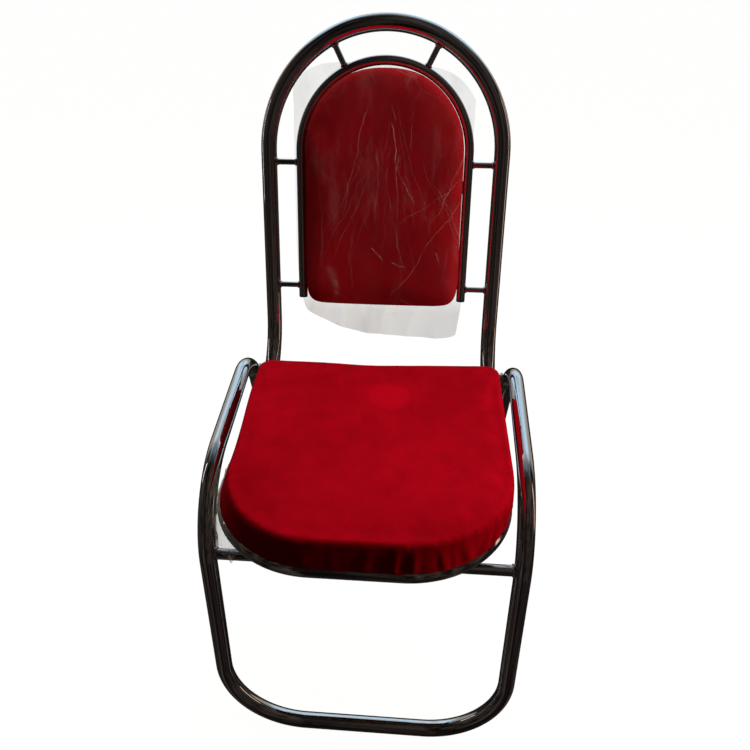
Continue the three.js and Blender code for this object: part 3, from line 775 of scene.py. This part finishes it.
# A torn, crumpled scrap of the seat's own bag is caught under the seat's front left corner: it
# comes out over the hoop's tube and hangs down beside it.
SCRAP_OVER = 0.36                # the share of it that lies over the tube
SCRAP_DROP = 0.042               # about how far it hangs below the hoop
scrap = bmesh.new()
bmesh.ops.create_grid(scrap, x_segments=80, y_segments=44, size=0.5)
hoop_turn = Vector((-LOOP + HOOP_CORNER, HOOP_FRONT + HOOP_CORNER, HOOP_Z))
for point in scrap.verts:
    along, down = point.co.x + 0.5, 0.5 - point.co.y
    past = -0.040 + 0.150 * along
    turn = math.pi + max(0.0, past) / (HOOP_CORNER + TUBE)
    over = math.radians(72) * max(0.0, 1 - down / SCRAP_OVER)
    below = max(0.0, down - SCRAP_OVER) / (1 - SCRAP_OVER)
    long = 0.35 + 0.65 * math.sin(math.pi * min(1.0, along * 1.05)) ** 0.8
    crumple = math.sin(along * 21 + below * 6) + 0.7 * math.sin(along * 47 - below * 15)
    crumple += 0.5 * math.sin(below * 24)
    wrap_round = TUBE + 0.0012 + 0.0003 * math.sin(along * 60)
    out = HOOP_CORNER + wrap_round * math.cos(over) + (1 - (1 - below) ** 2) * (0.0062 + 0.0014 * crumple)
    fall = below * SCRAP_DROP * long * (1 + 0.10 * math.sin(along * 33))
    point.co = hoop_turn + Vector((math.cos(turn) * out, math.sin(turn) * out - min(0.0, past), 0))
    point.co.z += wrap_round * math.sin(over) - fall
scrap_look = film_finish("scrap_film", 0.34, [], (0.60, 0.54, 0.42), thicker=0.2, smeared=0.45)
area = sum(face.calc_area() for face in scrap.faces)
scrap_piece = finished("film_scrap", scrap, scrap_look, crease=math.pi)

# ------------------------------------------------------------------ caps and plugs
# Black rubber caps are pushed over the two rear legs and worn flat on the floor. Two black
# plugs with chamfered heads close the back hoop's lower ends.
CAP_WALL = 0.0024                # round the leg
CAP_HIGH = 0.024
PLUG_HEAD = 0.0025               # how far a plug stands out of its tube
PLUG_STEM = 0.0047               # radius of the part inside
ROOM = 0.0003                    # between pieces that touch

rubber = plain_finish("rubber", (0.010, 0.010, 0.010), (0.022, 0.021, 0.020), 220, 0.55)


def turned(mesh, profile, place, sides=48):
    """Turns a profile of (radius, height) points round its axis, on a lathe."""
    points = [mesh.verts.new((radius, 0, height)) for radius, height in profile]
    outline = [mesh.edges.new(pair) for pair in zip(points, points[1:])]
    bmesh.ops.spin(
        mesh, geom=points + outline, cent=(0, 0, 0), axis=(0, 0, 1), dvec=(0, 0, 0), angle=math.tau,
        steps=sides, use_merge=True, use_duplicate=False)
    bmesh.ops.remove_doubles(mesh, verts=mesh.verts, dist=1e-6)
    bmesh.ops.transform(mesh, matrix=place, verts=mesh.verts)


def rounded(radius, height, size, steps=4):
    """The points of a small rounding on a turned piece's upper outer corner."""
    turns = [math.pi / 2 * step / steps for step in range(steps + 1)]
    return [(radius - size + size * math.cos(turn), height - size + size * math.sin(turn)) for turn in turns]


for side, sign in (("left", -1), ("right", 1)):
    foot = mirrored(REAR_FOOT, sign)
    leg = (mirrored(HOOK, sign) - foot).normalized()
    home = Matrix.Translation(foot) @ leg.to_track_quat("Z", "Y").to_matrix().to_4x4()
    outer, bore, top = TUBE + CAP_WALL, TUBE + ROOM, CAP_HIGH - SOLE
    ribs = []
    for level in (0.0045, 0.0085, 0.0125):
        ribs += [(outer, level - 0.0007), (outer - 0.0005, level), (outer, level + 0.0007)]
    cap = bmesh.new()
    turned(cap, [(0, -2 * SOLE), (outer, -2 * SOLE)] + ribs + rounded(outer, top, 0.0012)
           + [(bore, top), (bore, -ROOM), (0, -ROOM)], home)
    cut = bmesh.ops.bisect_plane(
        cap, geom=cap.verts[:] + cap.edges[:] + cap.faces[:], plane_co=(0, 0, 0), plane_no=(0, 0, -1),
        clear_outer=True)["geom_cut"]
    sole = bmesh.ops.edgeloop_fill(cap, edges=[part for part in cut if isinstance(part, bmesh.types.BMEdge)])
    rim = list({edge for face in sole["faces"] for edge in face.edges})
    bmesh.ops.bevel(cap, geom=rim, offset=0.0007, offset_type="OFFSET", segments=3, profile=0.5,
                    affect="EDGES", material=-1)
    finished(f"rear_foot_cap_{side}", cap, rubber, [f"rear_cap_{side}"])

    plug = bmesh.new()
    up_the_tube = Matrix.Translation((sign * BACK_HOOP, HOOP_END, 0)) @ Matrix.Rotation(-math.pi / 2, 4, "X")
    head = [(radius, -height - ROOM) for radius, height in rounded(THIN, PLUG_HEAD - ROOM, 0.0010)]
    stem = [(THIN, -ROOM), (PLUG_STEM, -ROOM), (PLUG_STEM, 0.009), (0, 0.009)]
    turned(plug, [(0, -PLUG_HEAD)] + head[::-1] + stem, back_place @ up_the_tube)
    finished(f"hoop_end_plug_{side}", plug, rubber, [f"hoop_plug_{side}"])

# ------------------------------------------------------------------ screws
# Zinc-plated pan-head screws hold the boards to the tabs from below and behind. Each head is
# domed, with a cross recess pressed into it.
SHANK = 0.0025                   # radius of a screw's thread
TAB_TOP = 0.4292                 # level of the seat tabs' upper faces
SEAT_TAB = 0.0025                # thickness of the tabs
BACK_TAB = 0.0020


def screw(name, place, wide, high, reach, stands_for):
    """A pan-head screw along +Z, the underside of its head at z = 0."""
    half = wide / 2
    dome = [(half * math.cos(turn), -high * (0.35 + 0.65 * math.sin(turn)))
            for turn in (math.radians(step) for step in range(0, 91, 15))]
    mesh = bmesh.new()
    turned(mesh, [(0, reach), (SHANK * 0.6, reach - 0.001), (SHANK, reach - 0.0022), (SHANK, 0), (half, 0)]
           + dome[:-1] + [(0, -high)], Matrix.Identity(4), 32)
    for turn in (0.4, 0.4 + math.pi / 2):
        arm = Matrix.Translation((0, 0, -high)) @ Matrix.Rotation(turn, 4, "Z")
        arm = arm @ Matrix.Diagonal((wide * 0.46, wide * 0.10, 0.00025, 1))
        made = bmesh.ops.create_cube(mesh, size=1.0, matrix=arm)["verts"]
        edges = list({edge for point in made for edge in point.link_edges})
        bmesh.ops.bevel(mesh, geom=edges, offset=0.00008, offset_type="OFFSET", segments=1, profile=0.5,
                        affect="EDGES", material=-1)
    bmesh.ops.transform(mesh, matrix=place, verts=mesh.verts)
    finished(name, mesh, zinc, [stands_for])


for side, sign in (("left", -1), ("right", 1)):
    for end in ("front", "rear"):
        node = f"seat_screw_{end}_{side}"
        low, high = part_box(node)
        at = Vector(((low.x + high.x) / 2, (low.y + high.y) / 2, TAB_TOP - SEAT_TAB - ROOM))
        screw(f"seat_pan_screw_{end}_{side}", Matrix.Translation(at), 0.010, 0.0032, high.z - at.z, node)
    for end, row in (("low", HOOP_END + 0.047), ("high", ARCH_UP - 0.045)):
        node = f"back_screw_{end}_{side}"
        low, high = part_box(node)
        home = back_place @ Matrix.Translation(((low.x + high.x) / 2, row, -THIN - BACK_TAB - 2 * ROOM))
        screw(f"back_pan_screw_{end}_{side}", home, 0.008, 0.0026, 0.0063, node)

# ------------------------------------------------------------------ tabs and sleeve
# The flat steel tabs under the boards, and the sleeve inside the loop's joint, have the right
# shape already. The tabs are chromed with the frame, and the sleeve is plated.
looks = {"chrome": chrome, "zinc": zinc}
for part in frame["record"]["subparts"]:
    look = looks.get(part["material_slot"])
    carried = frame["nodes"][part["node"]]
    if not look:
        continue
    for holder in carried.material_slots:
        holder.material = look
    if not carried.material_slots:
        carried.data.materials.append(look)

# ------------------------------------------------------------------ floor, light and camera
# A plain pale floor and backdrop, a soft lamp above, and round them a dim room that only the
# chrome mirrors: pale sky high behind, a bright doorway on the right, brown shade elsewhere.


def staged(name, mesh, material):
    """A piece of the studio, which the camera sees: the chrome doesn't mirror it, and it bounces no light."""
    data = bpy.data.meshes.new(name)
    mesh.to_mesh(data)
    mesh.free()
    piece = bpy.data.objects.new(name, data)
    scene.collection.objects.link(piece)
    data.materials.append(material)
    piece.visible_diffuse = False
    piece.visible_glossy = False
    return piece


paper = Finish("pale_paper")
matte = paper.node("ShaderNodeBsdfDiffuse", {}, {"Color": rgb(0.06, 0.06, 0.06)})
glow = paper.node("ShaderNodeEmission", {}, {"Color": rgb(1, 1, 0.99), "Strength": 0.985})
both = paper.node("ShaderNodeAddShader", {}, {0: matte, 1: glow})
paper.node("ShaderNodeOutputMaterial", {}, {"Surface": both}, None)
ground = bmesh.new()
bmesh.ops.create_grid(ground, x_segments=1, y_segments=1, size=40.0)
floor = staged("floor", ground, paper.material)

pale = Finish("pale_backdrop")
glow = pale.node("ShaderNodeEmission", {}, {"Color": rgb(1, 1, 0.99), "Strength": 0.99})
pale.node("ShaderNodeOutputMaterial", {}, {"Surface": glow}, None)
dome = bmesh.new()
bmesh.ops.create_icosphere(dome, subdivisions=4, radius=38.0)
backdrop = staged("backdrop", dome, pale.material)
backdrop.visible_shadow = False


def lamp(name, where, aim, size, power, colour, mirrored_in_chrome=True):
    data = bpy.data.lights.new(name, "AREA")
    data.shape = "RECTANGLE"
    data.size, data.size_y = size
    data.energy = power
    data.color = colour
    light = bpy.data.objects.new(name, data)
    scene.collection.objects.link(light)
    light.location = where
    light.rotation_euler = (Vector(aim) - Vector(where)).to_track_quat("-Z", "Y").to_euler()
    light.visible_glossy = mirrored_in_chrome


lamp("ceiling", (0.25, 0.46, 2.6), (0.02, 0.0, 0.45), (1.3, 1.3), 30, (1.0, 0.97, 0.93), False)
lamp("right_fill", (1.9, -0.30, 0.60), (0.1, -0.1, 0.45), (0.4, 0.4), 15, (1.0, 0.84, 0.78), False)
lamp("left_window", (-2.4, 0.3, 1.1), (0.0, 0.0, 0.6), (0.10, 1.2), 0.8, (0.95, 0.93, 0.95))

room = Finish("room", bpy.data.worlds.new("room"))
scene.world = room.material
x, y, z = room.axes()
streaks = room.noise(2.6, 5, 0.62, stretch=(1.0, 1.0, 0.18))
patches = room.noise(5.0, 3, 0.6)
gloom = (streaks * 0.7 + patches * 0.3).above(0.41, 0.66)
dim = room.blend(gloom, rgb(0.004, 0.003, 0.003), rgb(0.062, 0.049, 0.042))
wall = z.above(-0.05, 0.03) * y.above(0.30, 0.55)
clouds = (patches * 0.5 + streaks * 0.5).above(0.38, 0.50) * 0.8 + 0.2
sky = z.above(0.10, 0.34) * y.above(-0.05, 0.26) * clouds
door = (1 - (y - 0.10).size().above(0.03, 0.08)) * x.above(0.6, 0.7)
door = door * z.above(-0.30, -0.22) * (1 - z.above(0.40, 0.50))
seen = room.blend(wall * 0.55, dim, rgb(0.62, 0.56, 0.50))
sky = sky * (1 - z.above(0.68, 0.88) * 0.82) * (1 - x.size().above(0.46, 0.68))
seen = room.blend(sky * (0.75 + patches * 0.3), seen, rgb(0.62, 0.90, 1.14))
seen = room.blend(door, seen, rgb(0.95, 0.62, 0.50))
surround = room.node("ShaderNodeBackground", {}, {"Color": seen, "Strength": 1.0})
room.node("ShaderNodeOutputWorld", {}, {"Surface": surround}, None)

scene.view_settings.view_transform = "Standard"
scene.view_settings.look = "None"

eye = bpy.data.cameras.new("camera")
eye.sensor_width = 36.0
eye.lens = 30.65
camera = bpy.data.objects.new("camera", eye)
scene.collection.objects.link(camera)
camera.location = (0.0546, BAR_Y - 0.5169, 0.9529)
camera.rotation_euler = (math.pi / 2 - 0.567, 0.0, 0.073)
scene.camera = camera
